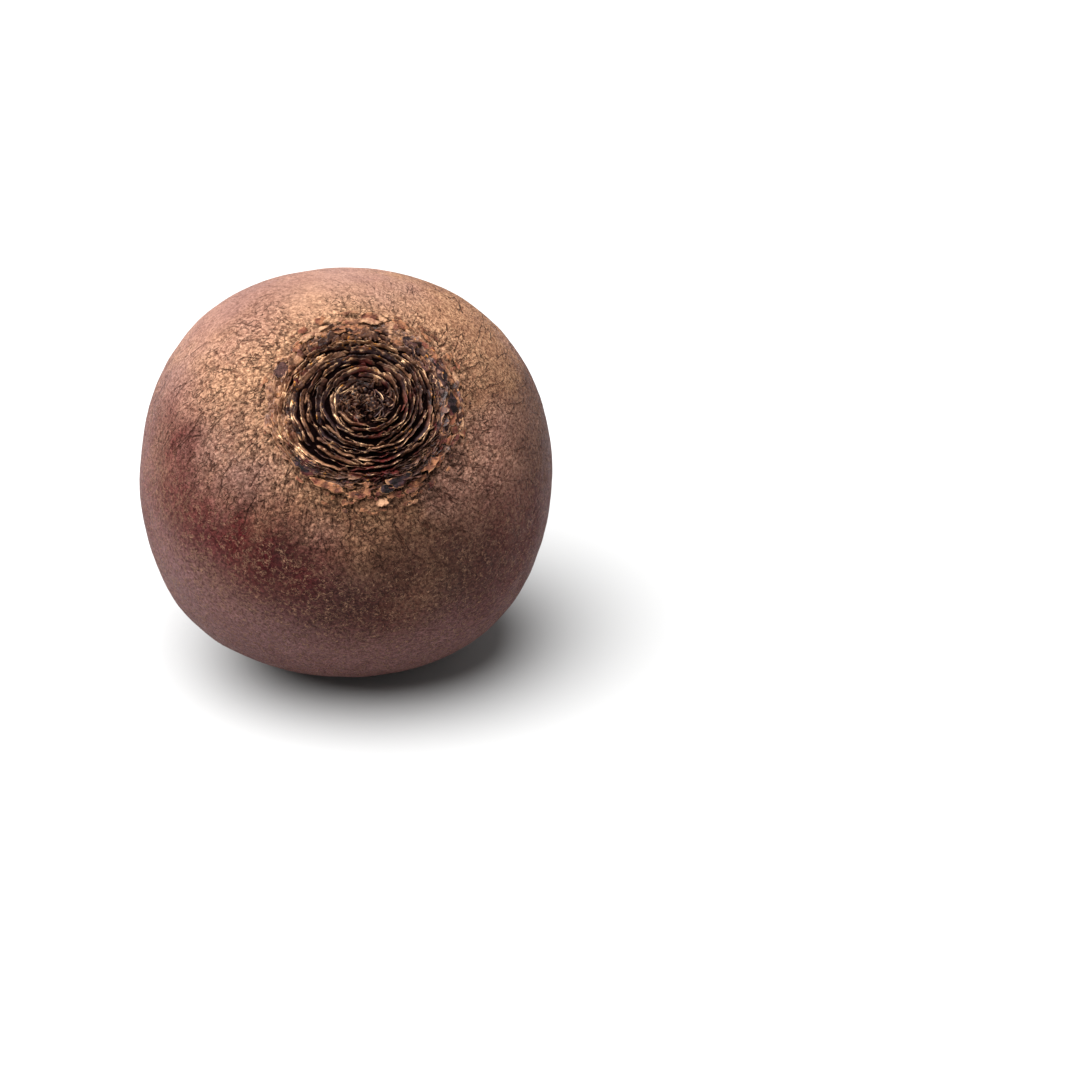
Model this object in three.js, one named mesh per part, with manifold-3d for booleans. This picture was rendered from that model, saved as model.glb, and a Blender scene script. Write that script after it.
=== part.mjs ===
// A whole globe beetroot that lies on a surface, its crown leaning up towards the front.
// Millimetres, +Z up. The origin is the middle of the small flat spot that it rests on.
// It is shaped upright in its grown frame, crown up along +Z and root down, then leaned over.
import * as THREE from "three";
import { mergeVertices } from "three/addons/utils/BufferGeometryUtils.js";
import Module from "manifold-3d";

const wasm = await Module();
wasm.setup();

const radians = THREE.MathUtils.degToRad;

// Edges shorter than this are merged once the pieces of a body are fused
const SLIVER = 0.02;

// Driving dimensions of the globe
const EQUATOR_RADIUS = 41;
const CROWN_HEIGHT = 36;
const BASE_DEPTH = 40;
const SHOULDER_POWER = 2.1;
const BASE_POWER = 1.9;
const LOBE_COUNT = 4;
const LOBE_SWELL = 0.016;
const LOBE_TURN = radians(37);

// Driving dimensions of the taproot, and of the two furrows that its side roots grow from
const ROOT_NECK_RADIUS = 6.4;
const ROOT_TIP_RADIUS = 1.1;
const ROOT_LENGTH = 36;
const ROOT_THINNING = 13;
const ROOT_BEND_START = 42;
const ROOT_BEND_RADIUS = 14;
const ROOT_BEND = radians(44);
const ROOT_DRIFT = 5;
const FURROW_DEPTH = 0.9;
const FURROW_WIDTH = radians(16);
const SIDE_ROOTS = 8;
const SIDE_ROOT_LENGTH = 8;
const SIDE_ROOT_RADIUS = 0.8;
const SIDE_ROOT_SPREAD = radians(48);

// Driving dimensions of the crown and of the dish in the root that it sits in
const NECK_RISE = 0.5;
const NECK_RADIUS = 16.5;
const NECK_REACH = 6;
const DISH_RADIUS = 15;
const DISH_DEPTH = 2.4;
const SEAT_GAP = 0.35;
const CROWN_HOLLOW = 0.5;

// Leaf bases: rings of thin upright crescents round the bud, and the bud's own small knobs
const RINGS = 8;
const FIRST_RING_RADIUS = 5.3;
const LAST_RING_RADIUS = 13.7;
const FIRST_RING_LEAVES = 4;
const LEAF_THICKNESS = 0.62;
const LEAF_HEIGHT = 1.4;
const LEAF_SUNK = 0.8;
const LEAF_STEPS = 6;
const BUD_KNOBS = 26;
const BUD_RADIUS = 4.5;
const BUD_SHIFT = [1.7, 1.3];

// Dry flakes of skin and leaf base that lie round the crown: the many small ones follow a rule,
// and each large one has a turn in degrees, a distance from the axis, a length and a width
const SMALL_FLAKES = 44;
const FLAKE_THICKNESS = 0.7;
const LARGE_FLAKES = [
  { turn: 149, out: 16.2, long: 3.7, wide: 2.9 },
  { turn: 48, out: 15.9, long: 3.2, wide: 2.2 },
  { turn: 18, out: 16.7, long: 7.0, wide: 2.2 },
  { turn: 224, out: 16.0, long: 4.4, wide: 2.4 },
  { turn: 284, out: 15.9, long: 7.6, wide: 2.0 },
  { turn: 358, out: 17.4, long: 3.8, wide: 2.6 },
  { turn: 98, out: 15.8, long: 5.4, wide: 1.9 },
  { turn: 77, out: 17.6, long: 4.6, wide: 1.5 },
  { turn: 116, out: 17.0, long: 6.0, wide: 1.4 },
  { turn: 242, out: 17.2, long: 6.4, wide: 1.5 },
  { turn: 312, out: 17.2, long: 4.0, wide: 2.0 },
];

// How it lies: the crown's lift above the surface, and where the globe's middle is
const CROWN_LIFT = radians(47);
const CENTRE_HEIGHT = 38.85;

// Low swellings: turn round the axis, angle down from the crown and reach in degrees, rise in mm
const SWELLINGS = [
  { turn: 215, down: 105, reach: 24, rise: 0.7 },
  { turn: 62, down: 62, reach: 20, rise: 0.5 },
  { turn: 120, down: 58, reach: 18, rise: 0.45 },
  { turn: 300, down: 75, reach: 26, rise: -0.6 },
  { turn: 160, down: 125, reach: 24, rise: 0.6 },
  { turn: 20, down: 120, reach: 28, rise: -0.7 },
];

const skin = new THREE.MeshStandardMaterial({ color: 0x7a5148, roughness: 0.6, metalness: 0 });
skin.name = "skin";
const leafBase = new THREE.MeshStandardMaterial({ color: 0x3a2619, roughness: 0.8, metalness: 0 });
leafBase.name = "leaf_base";

// A repeatable number from 0 to 1 for each whole number
function chance(n) {
  const x = Math.sin(n * 12.9898 + 4.1414) * 43758.5453;
  return x - Math.floor(x);
}

function smooth(low, high, x) {
  return THREE.MathUtils.smoothstep(x, low, high);
}

// The globe's outline at an angle down from the crown: distance from the axis, and height
function globe(down) {
  const c = Math.cos(down);
  const power = 2 / (c > 0 ? SHOULDER_POWER : BASE_POWER);
  const half = c > 0 ? CROWN_HEIGHT : -BASE_DEPTH;
  return [EQUATOR_RADIUS * Math.sin(down) ** power, half * Math.abs(c) ** power];
}

// Height of the globe's top at a distance from the axis, with the corky neck round the crown
function topHeight(out) {
  const power = 2 / SHOULDER_POWER;
  const down = Math.asin((out / EQUATOR_RADIUS) ** (1 / power));
  const neck = NECK_RISE * Math.exp(-(((out - NECK_RADIUS) / NECK_REACH) ** 2));
  return CROWN_HEIGHT * Math.cos(down) ** power + neck;
}

// Half the taproot's thickness at a depth below the globe's middle
function rootRadius(depth) {
  const past = Math.max(0, depth - BASE_DEPTH);
  const thinned = (ROOT_NECK_RADIUS - ROOT_TIP_RADIUS) * Math.exp(-past / ROOT_THINNING);
  return smooth(0, BASE_DEPTH, depth) * (ROOT_TIP_RADIUS + thinned);
}

// The line that the globe and its taproot grow along: straight, then bending up off the surface
function spine(depth) {
  const bent = Math.min(Math.max(0, depth - ROOT_BEND_START), ROOT_BEND_RADIUS * ROOT_BEND);
  const lean = bent / ROOT_BEND_RADIUS;
  const beyond = Math.max(0, depth - ROOT_BEND_START - bent);
  const straight = Math.min(depth, ROOT_BEND_START);
  const drift = ROOT_DRIFT * smooth(ROOT_BEND_START, BASE_DEPTH + ROOT_LENGTH, depth) ** 2;
  const y = ROOT_BEND_RADIUS * (1 - Math.cos(lean)) + beyond * Math.sin(lean);
  const z = -straight - ROOT_BEND_RADIUS * Math.sin(lean) - beyond * Math.cos(lean);
  return { middle: new THREE.Vector3(drift, y, z), lean };
}

// How far the surface stands off the plain outline in a direction from the globe's middle
function swelling(turn, down) {
  let rise = 0;
  for (const s of SWELLINGS) {
    const apart =
      Math.cos(down) * Math.cos(radians(s.down)) +
      Math.sin(down) * Math.sin(radians(s.down)) * Math.cos(turn - radians(s.turn));
    const angle = Math.acos(THREE.MathUtils.clamp(apart, -1, 1));
    rise += s.rise * Math.exp(-((angle / radians(s.reach)) ** 2));
  }
  return rise;
}

function furrow(turn, down) {
  const side = Math.abs(Math.sin(turn)) / Math.sin(FURROW_WIDTH);
  const along = smooth(radians(105), radians(140), down);
  return -FURROW_DEPTH * Math.exp(-side * side) * along;
}

// The real place of a point given by its distance from the axis, height and turn
function placed(out, height, turn) {
  const onGlobe = 1 - smooth(BASE_DEPTH - 6, BASE_DEPTH + 2, -height);
  const down = Math.atan2(out, height);
  const lobe = LOBE_SWELL * Math.cos(LOBE_COUNT * (turn - LOBE_TURN)) * Math.sin(down) ** 2;
  const rise = (swelling(turn, down) + furrow(turn, down)) * onGlobe;
  const swollen = out * (1 + lobe * onGlobe) + rise * Math.sin(down);
  const { middle, lean } = spine(-height);
  const across = swollen * Math.sin(turn);
  const point = new THREE.Vector3(
    middle.x + swollen * Math.cos(turn),
    middle.y + across * Math.cos(lean),
    middle.z + across * Math.sin(lean) + rise * Math.cos(down),
  );
  return flattened(point);
}

// Flattens what would dip below the surface that the beetroot rests on
function flattened(point) {
  const up = new THREE.Vector3(0, Math.cos(CROWN_LIFT), Math.sin(CROWN_LIFT));
  const low = Math.min(0, point.dot(up) + CENTRE_HEIGHT);
  return point.addScaledVector(up, -low);
}

// Moves each vertex of a geometry to where a rule puts it
function reshaped(geometry, rule) {
  const at = geometry.getAttribute("position");
  for (let i = 0; i < at.count; i++) {
    const p = rule(at.getX(i), at.getY(i), at.getZ(i));
    at.setXYZ(i, p.x, p.y, p.z);
  }
  return geometry;
}

// A lathe round the growing axis from [distance from axis, height] pairs, then put in place
function revolved(profile, segments) {
  const points = profile.map(([out, height]) => new THREE.Vector2(out, height));
  const lathe = new THREE.LatheGeometry(points.reverse(), segments);
  return reshaped(lathe, (x, y, z) => placed(Math.hypot(x, z), y, Math.atan2(x, z)));
}

function solidOf(geometry) {
  const bare = new THREE.BufferGeometry().setAttribute("position", geometry.getAttribute("position"));
  bare.setIndex(geometry.index);
  const merged = mergeVertices(bare, 1e-4);
  const mesh = new wasm.Mesh({
    numProp: 3,
    vertProperties: new Float32Array(merged.getAttribute("position").array),
    triVerts: new Uint32Array(merged.index.array),
  });
  return new wasm.Manifold(mesh);
}

// One body from many, without the slivers and the tiny voids that overlapping pieces close in
function fused(geometries) {
  const whole = wasm.Manifold.union(geometries.map(solidOf)).simplify(SLIVER);
  return whole.decompose().reduce((most, piece) => (piece.volume() > most.volume() ? piece : most));
}

function meshOf(solid, name, material) {
  const made = solid.getMesh();
  const geometry = new THREE.BufferGeometry();
  geometry.setAttribute("position", new THREE.BufferAttribute(made.vertProperties, 3));
  geometry.setIndex(new THREE.BufferAttribute(made.triVerts, 1));
  geometry.computeVertexNormals();
  const mesh = new THREE.Mesh(geometry, material);
  mesh.name = name;
  return mesh;
}

// Points of the root's outline, from the middle of the crown's dish to the root's tip
function rootOutline() {
  const DISH_STEPS = 3;
  const GLOBE_STEPS = 34;
  const TAIL_STEPS = 14;
  const points = [];
  for (let i = 0; i <= DISH_STEPS; i++) {
    const out = (DISH_RADIUS * i) / DISH_STEPS;
    points.push([out, topHeight(out) - DISH_DEPTH]);
  }
  const rim = Math.asin((DISH_RADIUS / EQUATOR_RADIUS) ** (SHOULDER_POWER / 2)) + radians(0.8);
  const last = radians(160);
  for (let i = 0; i <= GLOBE_STEPS; i++) {
    const [out, height] = globe(rim + ((last - rim) * i) / GLOBE_STEPS);
    if (height > 0) points.push([out, topHeight(out)]);
    else points.push([Math.cbrt(out ** 3 + rootRadius(-height) ** 3), height]);
  }
  const from = -globe(last)[1];
  const to = BASE_DEPTH + ROOT_LENGTH;
  for (let i = 1; i <= TAIL_STEPS; i++) {
    const depth = from + (to - from) * (i / TAIL_STEPS) ** 1.3;
    const cosine = Math.min(1, depth / BASE_DEPTH) ** (BASE_POWER / 2);
    const out = EQUATOR_RADIUS * Math.sin(Math.acos(cosine)) ** (2 / BASE_POWER);
    points.push([Math.cbrt(out ** 3 + rootRadius(depth) ** 3), -depth]);
  }
  points.push([0, -to - ROOT_TIP_RADIUS / 2]);
  return points;
}

// A side root: a thin cone that grows out of a furrow and back towards the tip
function sideRoot(n) {
  const side = n % 2 ? 1 : -1;
  const depth = BASE_DEPTH - 2 + (n / SIDE_ROOTS) * ROOT_LENGTH * 0.6;
  const length = SIDE_ROOT_LENGTH * (0.6 + 0.6 * chance(n));
  const cone = new THREE.ConeGeometry(SIDE_ROOT_RADIUS, length, 5);
  const { middle, lean } = spine(depth);
  cone.translate(0, length / 2, 0).rotateX(-Math.PI / 2);
  cone.rotateY(-side * SIDE_ROOT_SPREAD).rotateX(lean);
  cone.translate(middle.x + side * rootRadius(depth) * 0.5, middle.y, middle.z);
  return reshaped(cone, (x, y, z) => flattened(new THREE.Vector3(x, y, z)));
}

// A dry flake: a thin ragged chip that lies along the neck with one edge lifted
function flake({ turn, out, long, wide }, seed) {
  const corners = [0.08, 0.22, 0.4, 0.58, 0.75, 0.92].map((part, k) => {
    const ragged = 0.8 + 0.4 * chance(7 * seed + k);
    const angle = part * 2 * Math.PI;
    return new THREE.Vector2(
      (wide / 2) * ragged * Math.cos(angle),
      (long / 2) * ragged * Math.sin(angle),
    );
  });
  const chip = new THREE.ExtrudeGeometry(new THREE.Shape(corners), {
    depth: FLAKE_THICKNESS,
    bevelEnabled: false,
  });
  chip.translate(0, 0, -FLAKE_THICKNESS / 2).rotateY(-radians(6 + 14 * chance(seed + 400)));
  return reshaped(chip, (x, y, z) => {
    const reach = out + x;
    return placed(reach, topHeight(reach) + z, radians(turn) + y / out);
  });
}

function smallFlake(n) {
  return {
    turn: n * 137.51 + 20 * chance(n),
    out: DISH_RADIUS + 0.9 + 3.6 * chance(n + 100),
    long: 1.8 + 2.2 * chance(n + 200),
    wide: 1.0 + 0.8 * chance(n + 300),
  };
}

// The crown's rings crowd together on the side that the bud is shifted to
function onCrown(out, rise, turn) {
  const shift = 1 - Math.min(1, out / LAST_RING_RADIUS);
  const x = out * Math.cos(turn) + BUD_SHIFT[0] * shift;
  const y = out * Math.sin(turn) + BUD_SHIFT[1] * shift;
  const fromAxis = Math.hypot(x, y);
  return placed(fromAxis, plateHeight(fromAxis) + rise, Math.atan2(y, x));
}

// A dried leaf base: an upright crescent round the bud, one end tucked under the next
function leafBaseWall(ring, n, leaves) {
  const seed = 40 * ring + n;
  const spacing = (LAST_RING_RADIUS - FIRST_RING_RADIUS) / (RINGS - 1);
  const radius = FIRST_RING_RADIUS + spacing * (ring - 0.3 * chance(seed));
  const span = ((2 * Math.PI) / leaves) * (0.95 + 0.2 * chance(seed + 500));
  const start = ((n + 0.3 * chance(seed + 900)) * 2 * Math.PI) / leaves + ring * 2.39996;
  const tall = LEAF_HEIGHT * (0.65 + 0.6 * chance(seed + 1300));
  const tuck = spacing * 0.5;
  const half = LEAF_THICKNESS / 2;
  const wall = new THREE.Shape();
  wall.absarc(0, 0, radius + half, 0, span, false);
  wall.absarc(0, 0, radius - half, span, 0, true);
  const solid = new THREE.ExtrudeGeometry(wall, {
    depth: tall + LEAF_SUNK,
    bevelEnabled: false,
    curveSegments: LEAF_STEPS / 2,
  });
  return reshaped(solid, (x, y, z) => {
    const along = Math.atan2(y, x) / span;
    const notch = 1 - 0.35 * chance(Math.round(along * LEAF_STEPS) + seed);
    const raised = z > 0 ? tall * notch : -LEAF_SUNK;
    const out = Math.hypot(x, y) + tuck * (along - 0.5) - 0.12 * Math.max(0, raised);
    return onCrown(out, raised, start + along * span);
  });
}

// The crown plate's height: level with the neck at its rim and a little sunk in the middle
function plateHeight(out) {
  return topHeight(out) - 0.3 - CROWN_HOLLOW * (1 - smooth(0, DISH_RADIUS, out));
}

function plate() {
  const PLATE_STEPS = 5;
  const rim = DISH_RADIUS - SEAT_GAP;
  const lower = [];
  const upper = [];
  for (let i = 0; i <= PLATE_STEPS; i++) {
    const out = (rim * i) / PLATE_STEPS;
    upper.push([out, plateHeight(out)]);
    lower.unshift([out, topHeight(out) - DISH_DEPTH + SEAT_GAP]);
  }
  return revolved([...upper, ...lower], 32);
}

// A small rough knob of the dead bud in the crown's middle
function knob(n) {
  const out = BUD_RADIUS * Math.sqrt((n + 0.5) / BUD_KNOBS);
  const turn = n * 2.39996;
  const size = 0.7 + 0.4 * chance(n + 1700);
  const lump = new THREE.IcosahedronGeometry(size, 0);
  lump.deleteAttribute("normal");
  lump.deleteAttribute("uv");
  lump.rotateX(n).rotateY(2 * n);
  const seat = onCrown(out, 0.1, turn);
  return mergeVertices(lump.translate(seat.x, seat.y, seat.z));
}

function makeRoot() {
  const pieces = [revolved(rootOutline(), 64)];
  for (let n = 0; n < SIDE_ROOTS; n++) pieces.push(sideRoot(n));
  for (let n = 0; n < SMALL_FLAKES; n++) pieces.push(flake(smallFlake(n), n));
  LARGE_FLAKES.forEach((large, n) => pieces.push(flake(large, SMALL_FLAKES + n)));
  return meshOf(fused(pieces), "root", skin);
}

function makeCrown() {
  const pieces = [plate()];
  for (let ring = 0; ring < RINGS; ring++) {
    const leaves = FIRST_RING_LEAVES + Math.floor(ring / 2);
    for (let n = 0; n < leaves; n++) pieces.push(leafBaseWall(ring, n, leaves));
  }
  for (let n = 0; n < BUD_KNOBS; n++) pieces.push(knob(n));
  return meshOf(fused(pieces), "crown", leafBase);
}

const beetroot = new THREE.Group();
beetroot.add(makeRoot(), makeCrown());
beetroot.rotation.x = Math.PI / 2 - CROWN_LIFT;
beetroot.position.z = CENTRE_HEIGHT;

export default beetroot;
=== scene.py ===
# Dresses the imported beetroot: cracked corky skin, torn leaf bases, curled flakes and rootlets.
# Its shape repeats the grown shape of the solids, in millimetres, and is turned to metres last.
import math

import bmesh
import bpy
import numpy as np
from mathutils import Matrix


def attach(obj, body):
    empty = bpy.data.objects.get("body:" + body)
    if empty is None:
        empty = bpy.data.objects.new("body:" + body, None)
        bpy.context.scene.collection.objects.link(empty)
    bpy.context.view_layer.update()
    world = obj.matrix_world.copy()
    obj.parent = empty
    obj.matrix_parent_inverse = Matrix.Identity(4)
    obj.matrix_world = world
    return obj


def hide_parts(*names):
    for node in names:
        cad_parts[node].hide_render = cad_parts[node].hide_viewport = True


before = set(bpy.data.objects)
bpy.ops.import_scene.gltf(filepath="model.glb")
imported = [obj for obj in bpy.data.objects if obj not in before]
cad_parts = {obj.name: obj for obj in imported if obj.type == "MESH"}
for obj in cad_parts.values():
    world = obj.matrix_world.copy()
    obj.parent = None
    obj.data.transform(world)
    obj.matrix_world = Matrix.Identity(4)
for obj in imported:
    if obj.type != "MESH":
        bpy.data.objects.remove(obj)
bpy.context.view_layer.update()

MM = 0.001

# The golden angle, which spreads walls and flakes evenly round the axis, in radians and in degrees
GOLDEN_TURN = 2.39996
GOLDEN_DEGREES = 137.51

# Globe, taproot and lie of the solids
EQUATOR_RADIUS = 41.0
CROWN_HEIGHT = 36.0
BASE_DEPTH = 40.0
SHOULDER_POWER = 2.1
BASE_POWER = 1.9
LOBE_COUNT = 4
LOBE_SWELL = 0.016
LOBE_TURN = math.radians(37)
ROOT_NECK_RADIUS = 6.4
ROOT_TIP_RADIUS = 1.1
ROOT_LENGTH = 36.0
ROOT_THINNING = 13.0
ROOT_BEND_START = 42.0
ROOT_BEND_RADIUS = 14.0
ROOT_BEND = math.radians(44)
ROOT_DRIFT = 5.0
FURROW_DEPTH = 0.9
FURROW_WIDTH = math.radians(16)
SIDE_ROOTS = 8
SIDE_ROOT_LENGTH = 8.0
SIDE_ROOT_RADIUS = 0.8
SIDE_ROOT_SPREAD = math.radians(48)
HAIR_ROOTS = 30
NECK_RISE = 0.5
NECK_RADIUS = 16.5
NECK_REACH = 6.0
CROWN_LIFT = math.radians(47)
CENTRE_HEIGHT = 38.85

# Soft swellings of the globe, and hollows: turn, angle down, reach in degrees, and height
SWELLINGS = [
    (215, 105, 24, 0.7),
    (62, 62, 20, 0.5),
    (120, 58, 18, 0.45),
    (300, 75, 26, -0.6),
    (160, 125, 24, 0.6),
    (20, 120, 28, -0.7),
]

# Crown of leaf bases
DISH_RADIUS = 15.0
CROWN_HOLLOW = 0.5
RINGS = 8
FIRST_RING_RADIUS = 5.3
LAST_RING_RADIUS = 13.7
FIRST_RING_LEAVES = 4
LEAF_HEIGHT = 1.4
LEAF_SUNK = 0.8
BUD_SHIFT = (1.7, 1.3)
CROWN_OVAL = 0.94
GROUND_RADIUS = 15.4
GROUND_ROWS = 74
GROUND_COLUMNS = 288

# Turns of the crown's left and upper sides, paler partly in their own colour and partly as a painted
# highlight on the side the light comes from, and of the left side of the skin round it
CROWN_LEFT = math.radians(176)
CROWN_TOP = math.radians(95)
SKIN_LEFT = math.radians(190)

# Walls beside the leaf bases: thin ones among them, low ones below, some at the left, and the bud's
THIN_WALLS = 104
LOWER_WALLS = 30
LEFT_WALLS = 12
BUD_WALLS = 44

# Outline of a wall cut across: from its inner to its outer side, and from its foot up to its crest
WALL_PROFILE = [
    (-1.0, -1.0), (-1.0, -0.2), (-0.8, 0.1), (-0.35, 0.3), (0.05, 0.47), (0.4, 0.66),
    (0.65, 0.86), (0.82, 1.0), (0.96, 0.97), (1.0, 0.7), (1.0, 0.1), (1.0, -1.0),
]

# Strips of the collar, and the turns at which dark tufts of them stand
COLLAR_STRIPS = 240
DARK_STRIPS = 130
DARK_TUFTS = [224, 284, 20, 276, 46, 228, 288, 314, 96, 6]

# Flakes round the crown: turn, distance from the axis, length, width, and tone from dark to pale
SMALL_FLAKES = 44
MEDIUM_FLAKES = 50
TINY_FLAKES = 260
LARGE_FLAKES = [
    (149, 16.2, 3.7, 2.9, 0.05),
    (48, 15.9, 3.2, 2.2, 0.0),
    (18, 16.7, 7.0, 2.2, -0.1),
    (222, 16.0, 5.2, 2.8, -0.25),
    (229, 15.4, 3.6, 1.8, -0.2),
    (288, 16.4, 4.6, 2.2, -0.25),
    (280, 17.0, 3.0, 1.6, -0.2),
    (356, 17.2, 4.4, 2.8, -0.15),
    (98, 15.8, 3.2, 1.7, 0.3),
    (77, 17.6, 4.6, 1.5, 0.95),
    (116, 17.0, 6.0, 1.4, 0.75),
    (242, 17.2, 6.4, 1.5, 0.5),
    (312, 17.2, 4.0, 2.0, 0.45),
]


def chance(n):
    """A repeatable number from 0 to 1 for each whole number, the same as in the solids."""
    x = math.sin(n * 12.9898 + 4.1414) * 43758.5453
    return x - math.floor(x)


def smooth(low, high, x):
    """Rises from 0 to 1 between two values, with soft ends."""
    t = np.clip((x - low) / (high - low), 0, 1)
    return t * t * (3 - 2 * t)


def hashed(cell, seed):
    """Random numbers from 0 to 1 for whole-number cells, one for each row of three."""
    n = cell[..., 0] * 73856093 ^ cell[..., 1] * 19349663 ^ cell[..., 2] * 83492791
    n = (n ^ (seed * 97531)) & 0x7FFFFFFF
    n = ((n ^ (n >> 13)) * 1274126177) & 0x7FFFFFFF
    n = ((n ^ (n >> 16)) * 668265263) & 0x7FFFFFFF
    return (n ^ (n >> 15)) / 0x7FFFFFFF


def noise(points, seed):
    """Smooth noise from -1 to 1 with features about one unit across."""
    base = np.floor(points).astype(np.int64)
    ease = points - base
    ease = ease * ease * (3 - 2 * ease)
    total = 0
    for corner in np.ndindex(2, 2, 2):
        weight = np.prod(np.where(corner, ease, 1 - ease), axis=-1)
        total = total + weight * hashed(base + np.array(corner), seed)
    return 2 * total - 1


def layered(points, octaves, seed):
    """Noise with finer and weaker noise on it."""
    total = 0
    for k in range(octaves):
        total = total + noise(points * 2.03**k + 11.7 * k, seed + k) / 2**k
    return total


def cells(points, seed):
    """Distance to the nearest seeded centre, how far the border is, and the cell's own number."""
    base = np.floor(points).astype(np.int64)
    near = np.full(points.shape[:-1], 9.0)
    second = near.copy()
    own = near.copy()
    for offset in np.ndindex(3, 3, 3):
        cell = base + np.array(offset) - 1
        centre = cell + 0.5
        for axis in range(3):
            centre[..., axis] += 0.85 * (hashed(cell, seed + axis) - 0.5)
        apart = np.linalg.norm(points - centre, axis=-1)
        closer = apart < near
        second = np.where(closer, near, np.minimum(second, apart))
        own = np.where(closer, hashed(cell, seed + 7), own)
        near = np.where(closer, apart, near)
    return near, second - near, own


def globe(down):
    """The globe's outline at an angle down from the crown: distance from the axis, and height."""
    c = np.cos(down)
    power = np.where(c > 0, 2 / SHOULDER_POWER, 2 / BASE_POWER)
    half = np.where(c > 0, CROWN_HEIGHT, -BASE_DEPTH)
    return EQUATOR_RADIUS * np.sin(down) ** power, half * np.abs(c) ** power


def top_height(out):
    """Height of the globe's top at a distance from the axis, with the low neck round the crown."""
    power = 2 / SHOULDER_POWER
    down = np.arcsin(np.clip((out / EQUATOR_RADIUS) ** (1 / power), 0, 1))
    neck = NECK_RISE * np.exp(-(((out - NECK_RADIUS) / NECK_REACH) ** 2))
    return CROWN_HEIGHT * np.cos(down) ** power + neck


def root_radius(depth):
    """Radius of the taproot at a depth below the globe's middle."""
    past = np.maximum(0, depth - BASE_DEPTH)
    thinned = (ROOT_NECK_RADIUS - ROOT_TIP_RADIUS) * np.exp(-past / ROOT_THINNING)
    return smooth(0, BASE_DEPTH, depth) * (ROOT_TIP_RADIUS + thinned)


def spine(depth):
    """Place and lean of the root's middle line at a depth, bending back below the globe."""
    bent = np.clip(depth - ROOT_BEND_START, 0, ROOT_BEND_RADIUS * ROOT_BEND)
    lean = bent / ROOT_BEND_RADIUS
    beyond = np.maximum(0, depth - ROOT_BEND_START - bent)
    straight = np.minimum(depth, ROOT_BEND_START)
    x = ROOT_DRIFT * smooth(ROOT_BEND_START, BASE_DEPTH + ROOT_LENGTH, depth) ** 2
    y = ROOT_BEND_RADIUS * (1 - np.cos(lean)) + beyond * np.sin(lean)
    z = -straight - ROOT_BEND_RADIUS * np.sin(lean) - beyond * np.cos(lean)
    return x, y, z, lean


def apart_on_globe(turn, down, other_turn, other_down):
    """Angle in degrees between two directions from the globe's middle."""
    tilt = np.radians(other_down)
    cosine = np.cos(down) * np.cos(tilt)
    cosine = cosine + np.sin(down) * np.sin(tilt) * np.cos(turn - np.radians(other_turn))
    return np.degrees(np.arccos(np.clip(cosine, -1, 1)))


def placed(out, height, turn):
    """The grown place of points given by distance from the axis, height and turn."""
    on_globe = 1 - smooth(BASE_DEPTH - 6, BASE_DEPTH + 2, -height)
    down = np.arctan2(out, height)
    lobe = LOBE_SWELL * np.cos(LOBE_COUNT * (turn - LOBE_TURN)) * np.sin(down) ** 2
    rise = 0
    for other_turn, other_down, reach, swell in SWELLINGS:
        apart = apart_on_globe(turn, down, other_turn, other_down)
        rise = rise + swell * np.exp(-((apart / reach) ** 2))
    side = np.abs(np.sin(turn)) / math.sin(FURROW_WIDTH)
    furrow = smooth(math.radians(105), math.radians(140), down)
    rise = (rise - FURROW_DEPTH * np.exp(-side * side) * furrow) * on_globe
    swollen = out * (1 + lobe * on_globe) + rise * np.sin(down)
    x, y, z, lean = spine(-height)
    across = swollen * np.sin(turn)
    return np.stack(
        [
            x + swollen * np.cos(turn),
            y + across * np.cos(lean),
            z + across * np.sin(lean) + rise * np.cos(down),
        ],
        axis=-1,
    )


def lying(points):
    """Turns grown places into places on the surface, and flattens what would dip below it."""
    tip = math.pi / 2 - CROWN_LIFT
    x, y, z = points[..., 0], points[..., 1], points[..., 2]
    along = y * math.cos(tip) - z * math.sin(tip)
    above = y * math.sin(tip) + z * math.cos(tip) + CENTRE_HEIGHT
    return np.stack([x, along, np.maximum(above, 0)], axis=-1)


def normals_of(points):
    """Outward normals of a grid of points, rows down the axis and columns round it."""
    rows = np.gradient(points, axis=0)
    columns = np.roll(points, -1, axis=1) - np.roll(points, 1, axis=1)
    normal = np.cross(rows, columns)
    size = np.linalg.norm(normal, axis=-1, keepdims=True)
    return normal / np.maximum(size, 1e-9)


def make_piece(name, points, faces, fields, material):
    """A mesh object from points in millimetres, with its named fields for the material."""
    mesh = bpy.data.meshes.new(name)
    mesh.from_pydata((points * MM).tolist(), [], faces)
    for field, values in fields.items():
        vector = values.ndim == 2
        kind = "FLOAT_VECTOR" if vector else "FLOAT"
        attribute = mesh.attributes.new(field, kind, "POINT")
        attribute.data.foreach_set("vector" if vector else "value", values.astype(np.float32).ravel())
    mesh.materials.append(material)
    mesh.shade_smooth()
    mesh.update()
    piece = bpy.data.objects.new(name, mesh)
    bpy.context.scene.collection.objects.link(piece)
    return piece


class Builder:
    """Collects the points, faces and fields of many small forms for one piece."""

    def __init__(self):
        self.points = []
        self.faces = []
        self.fields = {}
        self.count = 0

    def add(self, points, faces, **fields):
        self.points.append(points)
        self.faces.extend([tuple(i + self.count for i in face) for face in faces])
        for field, values in fields.items():
            self.fields.setdefault(field, []).append(np.broadcast_to(values, (len(points),)))
        self.count += len(points)

    def piece(self, name, material):
        fields = {field: np.concatenate(parts) for field, parts in self.fields.items()}
        made = make_piece(name, np.concatenate(self.points), self.faces, fields, material)
        face_outward(made)
        return made


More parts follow.
